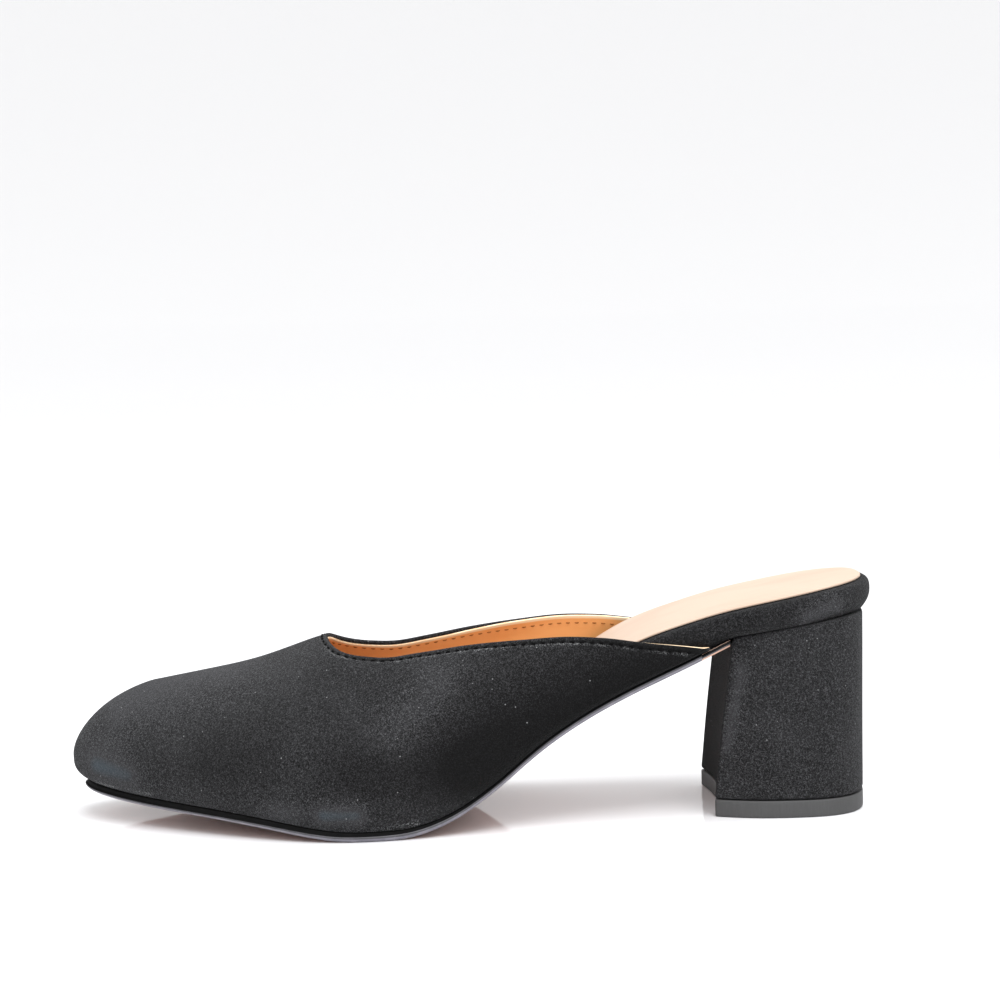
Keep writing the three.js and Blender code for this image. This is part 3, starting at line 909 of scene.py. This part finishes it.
                # The nap mark holds nap patches, painted highlights and painted shade; the groove
                # mark is painted shade; the fray mark holds pale fibres and painted highlight
                # specks
                marks = {
                    "nap": sum(stroke.reach(base[side]) for stroke in NAP_PATCHES_AND_PAINTED_LIGHT),
                    "painted_groove_shade": groove,
                    "fray_and_lit_specks": fibres + sum(stroke.reach(base[side]) for stroke in FRAYED),
                }
            flip = side is Side.INNER
            outer = self.last.lasted(q[:, None], side, lifts[side], front)
            inner = self.last.lasted(q[:, None], side, lifts[side], inside - turn)
            skin.add(outer, flip, **marks)
            skin.add(inner, not flip, **({} if relief else marks))
            skin.add(np.stack([outer[:, -1], inner[:, -1]], axis=1), flip)
            skin.add(np.stack([outer[parted:, 0], inner[parted:, 0]], axis=1), not flip)
            skin.add(np.stack([outer[-1], inner[-1]], axis=0), flip)
        return skin

    def stitch_line(self, away_by: float, depth: float, inward: float) -> tuple[Array, Array]:
        """A stitch row's points and the directions out of the leather, round the throat.

        Args:
            away_by: How far the row lies from the topline.
            depth: Depth of the face that is stitched.
            inward: A step into the leather, below 0 on the lining.

        Returns:
            Points from wing to wing, and unit vectors.
        """
        halves = []
        q, _, lifts, base, line = self.grid(self.stitch_grid, 0, np.zeros_like)
        for side in Side:
            away = distance_to_line(base[side], line)
            crossed = (away[:, 0] < away_by) & (away.max(axis=1) > away_by + 1)
            used = crossed & (self.last.y_of(q) < self.stitch_end_y)
            cut = np.array([
                np.interp(away_by, *pair) for pair in zip(away[used], lifts[side][used])
            ])
            on = self.last.lasted(q[used], side, cut, depth)
            half = (on, unit(on - self.last.lasted(q[used], side, cut, depth + inward)))
            halves.append(tuple(part[::-1] for part in half) if side is Side.OUTER else half)
        return tuple(np.concatenate(parts) for parts in zip(*halves))

    def stitches(self, name: str, line: tuple[Array, Array], radius: float,
                 material: Material) -> Piece:
        """A stitch row: short threads that rise from the leather and sink back into it.

        The thread's middle line rises by a cosine over its length, and its radius shrinks to
        nothing at both ends as the root of 1 - t^2.
        """
        on, outward = line
        run = np.concatenate([[0], np.cumsum(np.linalg.norm(np.diff(on, axis=0), axis=-1))])
        centre = (np.arange(int(run[-1] // self.stitch_pitch)) + 0.5) * self.stitch_pitch
        t = np.linspace(-1, 1, self.thread_steps)
        at = centre[:, None] + t * self.stitch_length / 2
        point = np.stack([np.interp(at, run, on[:, k]) for k in range(3)], axis=-1)
        up = unit(np.stack([np.interp(at, run, outward[:, k]) for k in range(3)], axis=-1))
        across = unit(np.cross(unit(np.gradient(point, axis=1)), up))
        rise = radius * (np.cos(t * math.pi / 2) - self.thread_sunk)
        middle = point + up * rise[None, :, None]
        thick = radius * np.sqrt(1 - t ** 2)
        angle = np.linspace(0, 2 * math.pi, self.thread_steps)[:, None]
        ring = across[:, :, None] * np.cos(angle) + up[:, :, None] * np.sin(angle)
        skin = Skin()
        for stitch in middle[:, :, None] + ring * thick[None, :, None, None]:
            skin.add(stitch, True)
        return skin.build(name, self.last, [material])

    def build(self, suede: Material, lining: Material,
              thread: Material, lining_thread: Material) -> list[Piece]:
        """Builds the suede, the lining and the stitching on both faces."""
        wall = self.last.wall
        outer = self.shell(0.0, self.suede_thick, 0.0, 0.0, self.suede_grid, relief=True)
        inner = self.shell(self.suede_thick + self.layer_gap, wall, self.lining_drop,
                           self.lining_rise, self.lining_grid, relief=False)
        outside = self.stitch_line(self.stitch_in, self.groove_depth, 0.5)
        inside = self.stitch_line(self.lining_stitch_in, wall, -0.5)
        pieces = [
            outer.build("upper_suede", self.last, [suede]),
            inner.build("upper_lining", self.last, [lining]),
            self.stitches("upper_stitching", outside, self.thread_radius, thread),
            self.stitches("lining_stitching", inside, self.lining_thread_radius, lining_thread),
        ]
        slots = ("suede", "insole", "suede", "insole")
        return hand_over([(piece, "upper", slot) for piece, slot in zip(pieces, slots)])


class Slab:
    """A flat piece that follows the shoe: a rim on both sides and a face above and below."""

    def __init__(self, inset: Array, up: Array, across: int) -> None:
        """Keeps the rim's profile, from below upwards, and the number of columns across.

        The heights may be one row for the whole piece or one row for each of its rows.
        """
        self.inset, self.up, self.across = inset, np.atleast_2d(up), across

    def loops(self, edge: Callable[[Side, Array], Array], bottom: Curve, top: Curve,
              crown: float = 0.0) -> Array:
        """Loops across the piece, over the top from the outer to the inner edge and back below.

        Args:
            edge: Gives the outline, as (rows, rim, 2), for a side and the rim's insets.
            bottom: Height of the lower face along the shoe.
            top: Height of the upper face along the shoe.
            crown: How far the middle of the upper face rises at the widest row, and less on a
                narrower one, falling off to the edges as 1 - s^2.

        Returns:
            Points as (rows, round the loop, 3), closed.
        """
        outer, inner = (edge(side, self.inset) for side in Side)
        share = np.linspace(0, 1, self.across + 1)[1:-1][:, None]
        over = outer[:, -1:] + (inner[:, -1:] - outer[:, -1:]) * share
        under = inner[:, :1] + (outer[:, :1] - inner[:, :1]) * share
        flat = np.concatenate([outer, over, inner[:, ::-1], under], axis=1)
        face = np.ones((len(self.up), len(share)))
        up = np.concatenate([self.up, face, self.up[:, ::-1], face * 0], axis=1)
        y = flat[..., 1]
        low = bottom(y)
        height = low + (top(y) - low) * up
        swell = np.zeros(flat.shape[:2])
        rim = self.up.shape[1]
        width = np.linalg.norm(outer[:, -1] - inner[:, -1], axis=-1)[:, None]
        swell[:, rim:rim + len(share)] = (1 - (2 * share.T - 1) ** 2) * crown * width / width.max()
        return closed(raised(flat, height + swell))

    def columns(self, values: Sequence[int], over: int, under: int) -> Array:
        """Slot numbers round the loop: the rim's own on both sides, then the faces'."""
        rim = list(values)
        return np.array(rim + [over] * self.across + rim[::-1] + [under] * self.across)

    @staticmethod
    def skin(loops: Array, slot: int | Array = 0, end_slot: int | None = None,
             **marks: Array) -> Skin:
        """The loops as a surface.

        Args:
            loops: The loops; the first one is a line, where both sides meet.
            slot: The material slot, one for all faces or one for each.
            end_slot: The slot of the strip that closes the last loop, or None if it is a line.
            marks: Values for each point, as in Skin.add.
        """
        made = Skin()
        made.add(loops, True, slot, **marks)
        if end_slot is not None:
            last = loops[-1]
            half = (len(last) - 1) // 2
            made.add(np.stack([last[:half], last[half:-1][::-1]]), True, end_slot)
        return made


@dataclass
class Footbed:
    """The footbed: a padded board wrapped in suede with a rounded lip, and its leather sock."""

    last: Last
    thickness: float = 12
    edge_round: float = 2.2
    seat_width: float = 57.4
    round_y: float = 206
    seat_spread: float = 30
    seat_roundness: float = 2.6
    sock_thick: float = 0.8
    sock_inset: float = 0.4
    sock_crown: float = 0.35
    fore_rows: int = 150
    back_rows: int = 70
    darker_all_over: float = 0.55
    band_steps: int = 26
    band_columns: int = 16
    sock_columns: int = 24

    def edge(self, rows: Array, side: Side, inset: Array) -> Array:
        """The outline: inside the upper's wall, then out to the seat and round the back.

        Up to row 1 the point lies on the sole's edge moved in, and turns by a soft S into the
        seat's half width. From row 1 to 2 it runs round a quarter of a superellipse.
        """
        last = self.last
        rows, inset = np.broadcast_arrays(rows[:, None], inset[None])
        half = self.seat_width / 2 - inset
        q = np.minimum(rows, 1) * last.row_of(self.round_y)
        y = last.y_of(q)
        under = last.feather_inset + last.wall + last.clearance
        front = last.edge_out(q, side, -under - inset)
        straight = np.stack([side.value * half, y], axis=-1)
        opened = smoothstep(y, last.wing_end_y - self.seat_spread, self.round_y)[..., None]
        front = front + (straight - front) * opened
        turn = np.clip(rows - 1, 0, 1) * math.pi / 2
        power = 2 / self.seat_roundness
        reach = last.length - self.round_y - inset
        back = np.stack([
            side.value * half * np.maximum(np.cos(turn), 0) ** power,
            self.round_y + reach * np.sin(turn) ** power,
        ], axis=-1)
        return np.where(rows[..., None] <= 1, front, back)

    @cached_property
    def rows(self) -> Array:
        """Rows from the nose to the rearmost point."""
        back = np.linspace(1, 2, self.back_rows)[1:]
        return np.concatenate([np.linspace(0, 1, self.fore_rows), back])

    def bottom(self, y: Array) -> Array:
        """Height of the footbed's underside."""
        return self.last.sole_top(y) + self.last.clearance

    @cached_property
    def top(self) -> Curve:
        """Height of the footbed's upper side, one smooth curve."""
        at = FOOTBED_BODY.column("at") * self.last.length
        return smooth_curve(at, self.bottom(at) + FOOTBED_BODY.column("thick") * self.thickness)

    def band(self, suede: Material) -> Piece:
        """The wrapped board. Its rim bulges a little above the middle and tucks in below."""
        profile = Table(("up", "inset"), (
            (0, 1), (0.10, 0.66), (0.22, 0.36), (0.36, 0.12), (0.5, 0.01), (0.62, 0),
            (0.74, 0.04), (0.84, 0.13), (0.92, 0.30), (0.97, 0.55), (1, 1),
        ))
        up = 0.5 - 0.5 * np.cos(np.linspace(0, math.pi, self.band_steps))
        inset = profile.curve("inset", self.edge_round, 1)(up)
        slab = Slab(inset, up, self.band_columns)
        loops = slab.loops(lambda side, i: self.edge(self.rows, side, i), self.bottom, self.top)
        # A painted highlight on the rim near the back, over a band darker all over
        rim_painted_highlight = Stroke(Side.OUTER, (219, 58), (227, 61), 2.6, 1.15)
        skin = Slab.skin(loops, nap=rim_painted_highlight.reach(loops) - self.darker_all_over)
        return skin.build("footbed_wrap", self.last, [suede])

    def sock(self, leather: Material) -> Piece:
        """The sock: a thin leather cover with a soft cut edge, crowned a little by its foam."""
        up = np.array([0, 0.35, 0.65, 0.85, 0.96, 1])
        inset = np.array([0, 0, 0.05, 0.16, 0.34, 0.6])
        slab = Slab(inset, up, self.sock_columns)
        start = self.edge_round + self.sock_inset

        def bottom(y: Array) -> Array:
            """Height of the sock's underside."""
            return self.top(y) + self.last.clearance

        loops = slab.loops(lambda side, i: self.edge(self.rows, side, start + i), bottom,
                           lambda y: bottom(y) + self.sock_thick, self.sock_crown)
        return Slab.skin(loops).build("insole_sock", self.last, [leather])

    def build(self, suede: Material, leather: Material) -> list[Piece]:
        """Builds the wrapped footbed and the sock on it."""
        band, sock = hand_over([
            (self.band(suede), "footbed", "suede"), (self.sock(leather), "insole", "insole"),
        ])
        return [band, sock]


@dataclass
class Heel:
    """The covered block heel and its rubber top piece."""

    last: Last
    top_piece: float = 5
    rear_inset: float = 2.6
    rear_taper: float = 0.6
    width: float = 53.6
    front_width: float = 45.2
    top_front_width: float = 49.6
    flare: float = 5.8
    widest_share: float = 0.42
    roundness: float = 3
    breast_hollow: float = 2.6
    corner: float = 0.7
    wrap_inset: float = 0.9
    wrap_round: float = 1.1
    wave_depth: float = 0.10
    wave_tall: float = 7.5
    wave_long: float = 9.0
    darker_all_over: float = 0.15
    wave_from_to: tuple[float, float] = (1, 6)
    breast_shade_from_to: tuple[float, float] = (0.7, 0.9)
    end_rings: int = 8
    breast_steps: int = 60
    flank_steps: int = 20
    back_steps: int = 120
    outline_steps: int = 360

    flare_curve = staticmethod(smooth_curve(
        np.array([0, 0.35, 0.70, 1]), np.array([1, 0.70, 0.34, 0])))

    def outline(self, up: Array) -> Array:
        """Closed outlines at shares of the height.

        The breast is a shallow parabola, each flank a curve that widens as 1 - (1 - t)^2, and the
        back half a superellipse with round corners.
        """
        up = np.asarray(up, dtype=float)[:, None]
        front = self.last.breast_y - self.flare * self.flare_curve(up)
        rear = self.last.length - self.rear_inset - self.rear_taper * (1 - up)
        middle = front + (rear - front) * self.widest_share
        half = self.width / 2
        front_half = (self.front_width + (self.top_front_width - self.front_width) * up) / 2
        s = np.linspace(-1, 1, self.breast_steps)
        breast = np.stack([s * front_half, front + self.breast_hollow * (1 - s * s)], axis=-1)
        t = np.linspace(0, 1, self.flank_steps)[1:]
        flank = np.stack([
            front_half + (half - front_half) * (1 - (1 - t) ** 2),
            front + (middle - front) * t,
        ], axis=-1)
        turn = np.linspace(0, math.pi, self.back_steps)[1:-1]
        power = 2 / self.roundness
        x = half * np.sign(np.cos(turn)) * np.abs(np.cos(turn)) ** power
        back = np.stack([np.broadcast_to(x, (len(up), len(x))),
                         middle + (rear - middle) * np.sin(turn) ** power], axis=-1)
        other = flank[:, ::-1] * np.array([-1, 1])
        whole = np.concatenate([breast, flank, back, other], axis=1)
        return soften_ring(whole, self.corner, self.outline_steps)

    @staticmethod
    def outward(ring: Array) -> Array:
        """The direction out of each outline, square to it."""
        along = unit(np.roll(ring, -1, axis=1) - np.roll(ring, 1, axis=1))
        return np.stack([along[..., 1], -along[..., 0]], axis=-1)

    @classmethod
    def tighten(cls, ring: Array, inset: Array) -> Array:
        """Draws each outline in by an inset, square to itself."""
        return ring - cls.outward(ring) * inset[:, None, None]

    def skin(self, rings: Array, **marks: Array) -> Skin:
        """The rings as a closed surface; its ends are rings that shrink to their middle."""
        made = Skin()
        made.add(closed(rings), **{name: closed(values) for name, values in marks.items()})
        for ring, flip in ((rings[0], True), (rings[-1], False)):
            middle = ring.mean(axis=0)
            shrink = np.linspace(1, 0, self.end_rings)[:, None, None]
            made.add(closed(middle + (ring[None] - middle) * shrink), flip)
        return made

    def block(self, suede: Material) -> Piece:
        """The covered block; its cover turns in over the lower and upper edge."""
        foot = self.top_piece + self.last.clearance
        edge = np.array([0, 0.004, 0.01, 0.02, 0.035])
        up = np.concatenate([edge, np.linspace(0.06, 0.94, 46), 1 - edge[::-1]])
        tall = self.last.seat(self.last.breast_y) - foot
        near = np.minimum(up, 1 - up) * tall
        rest = 1 - np.clip(near / self.wrap_round, 0, 1)
        ring = self.tighten(self.outline(up), self.wrap_inset * (1 - np.sqrt(1 - rest ** 2)))
        height = foot + (self.last.seat(ring[..., 1]) - foot) * up[:, None]
        # Soft pulls in the cover: a slight slanting wave on the flank
        wave = np.sin(height / self.wave_tall + ring[..., 1] / self.wave_long)
        pull = self.wave_depth * wave * smoothstep(near, *self.wave_from_to)[:, None]
        ring = ring + pull[..., None] * np.sign(ring) * np.array([1, 0])
        points = raised(ring, height)
        # A painted highlight along the flank's front edge, where it turns to the light, painted
        # shade on the breast face, and the cover darker all over
        front = Stroke(Side.OUTER, (195, 20), (199.5, 44), 1.3, 0.7)
        breast = smoothstep(-self.outward(ring)[..., 1], *self.breast_shade_from_to)
        nap = front.reach(points) * (1 - breast) - self.darker_all_over - (1 - self.darker_all_over) * breast
        return self.skin(points, nap=nap).build("heel_cover", self.last, [suede])

    def rubber(self, rubber: Material) -> Piece:
        """The top piece, with its edges broken by the trimming wheel."""
        height = np.array([0, 0.08, 0.25, 0.5, 1.2, 2.5, 3.8, 4.5, 4.8, 4.95, 5])
        inset = np.array([0.5, 0.28, 0.1, 0, 0, 0, 0, 0, 0.06, 0.16, 0.3])
        ring = self.tighten(np.repeat(self.outline(np.zeros(1)), len(height), axis=0), inset)
        points = raised(ring, np.broadcast_to(height[:, None], ring.shape[:2]))
        return self.skin(points).build("heel_top_piece", self.last, [rubber])

    def build(self, suede: Material, rubber: Material) -> list[Piece]:
        """Builds the covered block and the rubber below it."""
        return hand_over([
            (self.block(suede), "heel_block", "suede"),
            (self.rubber(rubber), "top_piece", "top_piece"),
        ])


@dataclass
class Outsole:
    """The outsole: recessed band, rib and bevel round its edge, bare at its last centimetre."""

    last: Last
    breast_hollow: float = 2.6
    breast_half: float = 24.8
    end_from: float = 0.93
    bare_from: float = 187
    fore_rows: int = 230
    end_rows: int = 14
    columns: int = 16

    def build(self, materials: Sequence[Material]) -> list[Piece]:
        """Builds the sole.

        Args:
            materials: The painted rib, the band, the underside, the bare edge and the bevel.
        """
        last = self.last
        inset = np.array([0.9, 0.62, 0.3, 0.08, 0, 0, 0.14, 0.8, 0.85, 0.85])
        rib = np.array([0, 0.12, 0.34, 0.58, 0.72, 0.84, 0.95, 1.0])
        end = np.linspace(self.end_from, 1, self.end_rows)[1:]
        rows = np.concatenate([np.linspace(0, self.end_from, self.fore_rows), end])
        tall = RIB.curve("tall", 1, last.length, last.soft)(last.y_of(rows))[:, None]
        up = np.concatenate([rib * tall, (1 + tall) / 2, np.ones_like(tall)], axis=1)
        slab = Slab(inset, up, self.columns)
        q = np.broadcast_to(rows[:, None], (len(rows), len(inset)))
        loops = slab.loops(lambda side, i: last.edge_out(q, side, -i[None] * np.ones_like(q)),
                           last.sole_bottom, last.sole_top)
        share = np.maximum(0, (rows - self.end_from) / (1 - self.end_from))[:, None]
        low, high = last.sole_bottom(loops[..., 1]), last.sole_top(loops[..., 1])
        part = (loops[..., 2] - low) / (high - low)
        hollow = self.breast_hollow * (1 - (loops[..., 0] / self.breast_half) ** 2)
        y = loops[..., 1] + share * (hollow - last.clearance)
        low, high = last.sole_bottom(y), last.sole_top(y)
        loops = np.stack([loops[..., 0], y, low + (high - low) * part], axis=-1)
        painted = slab.columns([4, 4, 4, 0, 0, 0, 1, 1, 1], 1, 2)
        bared = slab.columns([3, 3, 0, 1, 1, 1, 1, 1, 3], 1, 2)
        bare = (last.y_of(rows[:-1]) >= self.bare_from)[:, None]
        sole = Slab.skin(loops, np.where(bare, bared, painted), 1)
        return hand_over([(sole.build("outsole_body", last, materials), "outsole", "outsole")])


@dataclass
class Studio:
    """The floor, the soft lights and the camera at the photograph's angle."""

    last: Last
    camera_at: tuple[float, float, float] = (599.774, 137.630, 130.974)
    turn: float = 0.0110063
    tilt: float = 0.0643412
    roll: float = -0.0266787
    focal_share: float = 2.010158
    sensor: float = 36
    board_radius: float = 3.6
    board_flat: float = 0.6
    board_rise: float = 0.055
    board_rings: int = 60
    board_turns: int = 97

    def floor(self, board: Material) -> None:
        """A round board that rises with the cube of its radius, so that it has no horizon."""
        run = np.linspace(0, self.board_radius, self.board_rings)
        rise = self.board_rise * np.maximum(run - self.board_flat, 0) ** 3
        angle = np.linspace(0, 2 * math.pi, self.board_turns)
        grid = np.stack([
            run[:, None] * np.cos(angle), run[:, None] * np.sin(angle),
            np.broadcast_to(rise[:, None], (len(run), len(angle))),
        ], axis=-1)
        skin = Skin()
        skin.add(grid * 1000 - self.last.shift)
        skin.build("floor_board", self.last, [board])

    def light(self, name: str, at: tuple[float, float, float], size: float, power: float,
              aim: tuple[float, float, float] = (0, 0, 0.03)) -> None:
        """Adds a soft square light that looks at a point."""
        lamp = bpy.data.lights.new(name, "AREA")
        lamp.size, lamp.energy = size, power
        lamp.color = linear_colour("#FCFDFF")[:3]
        made = bpy.data.objects.new(name, lamp)
        bpy.context.scene.collection.objects.link(made)
        back = unit(np.array(at) - np.array(aim))
        side = unit(np.cross([0.0, 0.0, 1.0], back + [1e-4, 0, 0]))
        turn = np.stack([side, np.cross(back, side), back], axis=1)
        made.matrix_world = Matrix.Translation(at) @ Matrix(turn.tolist()).to_4x4()

    def lights(self) -> None:
        """Even white surroundings, a large light above and a weaker one beside the camera."""
        world = bpy.data.worlds.new("studio_surroundings")
        world.use_nodes = True
        background = world.node_tree.nodes["Background"]
        background.inputs["Color"].default_value = linear_colour("#FDFDFD")
        background.inputs["Strength"].default_value = 1.0
        bpy.context.scene.world = world
        self.light("light_above", (0.30, 0.10, 1.2), 1.0, 22)
        self.light("light_front", (1.1, 0.35, 0.75), 0.9, 3)

    def camera(self) -> None:
        """The camera, turned, tilted down and rolled as fitted to the photograph's lines."""
        ahead = np.array([
            -math.cos(self.turn) * math.cos(self.tilt), -math.sin(self.turn) * math.cos(self.tilt),
            -math.sin(self.tilt),
        ])
        level = unit(np.cross(ahead, [0.0, 0.0, 1.0]))
        upright = np.cross(level, ahead)
        right = math.cos(self.roll) * level + math.sin(self.roll) * upright
        up = math.cos(self.roll) * upright - math.sin(self.roll) * level
        lens = bpy.data.cameras.new("photo_camera")
        lens.sensor_width = self.sensor
        lens.lens = self.focal_share * self.sensor
        lens.clip_start = 0.01
        made = bpy.data.objects.new("photo_camera", lens)
        bpy.context.scene.collection.objects.link(made)
        turn = Matrix(np.stack([right, up, -ahead], axis=1).tolist()).to_4x4()
        made.matrix_world = Matrix.Translation(self.last.place(np.array(self.camera_at))) @ turn
        bpy.context.scene.camera = made

    def build(self, board: Material) -> None:
        """Sets up the floor, the lights and the camera."""
        self.camera()
        self.floor(board)
        self.lights()
        bpy.context.scene.view_settings.view_transform = "Standard"


def main() -> None:
    """Builds the mule piece by piece and reports each one."""
    logging.basicConfig(level=logging.INFO, format="%(name)s: %(message)s")
    last = Last()
    # Buffed split leather: matt, charcoal black, a little lighter where the nap stands
    suede = Suede("black_suede", "#1D1D1E", 0.95, 0.14).material()
    # Chrome-tanned lining leather: warm tan, low gloss, its cut edge pale
    lining = SmoothLeather("tan_lining_leather", "#F6AE69", 0.5).material()
    # Undyed sock leather: pale peach, almost matt
    sock = SmoothLeather("peach_sock_leather", "#BCA693", 0.6, second_colour="#B39884",
                         spot_mm=16).material()
    # Burnished edge dye over leather board; on the rib it is grey, lighter than the black band, as
    # a partly painted highlight
    paint = PaintedEdge("edge_dye_and_painted_highlight", "#3E3D41", 0.35, second_colour="#504E54").material()
    band = PaintedEdge("black_band_dye", "#0C0C0C", 0.8, 0.15, second_colour="#141414").material()
    # The same dye on the bevel, light grey as a painted highlight where the bevel catches the
    # light
    bevel = PaintedEdge("bevel_dye_painted_highlight", "#6C6A73", 0.35, second_colour="#86838C").material()
    # Sueded resin sheet of the underside, rosy brown
    underside = SmoothLeather("brown_sole_sheet", "#9A6A5C", 0.5,
                              second_colour="#7A554B").material()
    # Cut edge of the sheet, left bare near the heel
    bare = SmoothLeather("bare_sole_edge", "#CFA893", 0.6, second_colour="#A98270",
                         spot_mm=2).material()
    # Pressed rubber
    rubber = Rubber("heel_rubber", "#444444", 0.6, 0.35).material()
    # Bonded nylon thread
    thread = TwistedThread("black_nylon_thread", "#040404", 0.85, 0.08).material()
    lining_thread = TwistedThread("brown_nylon_thread", "#8A5226", 0.7, 0.2,
                                  second_colour="#B0743C").material()
    # Lacquered board
    board = GlossBoard("white_gloss_board", "#F4F4F5", 0.05).material()
    Studio(last).build(board)
    made = [
        *Upper(last).build(suede, lining, thread, lining_thread),
        *Footbed(last).build(suede, sock),
        *Heel(last).build(suede, rubber),
        *Outsole(last).build([paint, band, underside, bare, bevel]),
    ]
    for piece in made:
        logger.info("%s: %d faces", piece.name, len(piece.data.polygons))


if __name__ == "__main__":
    main()
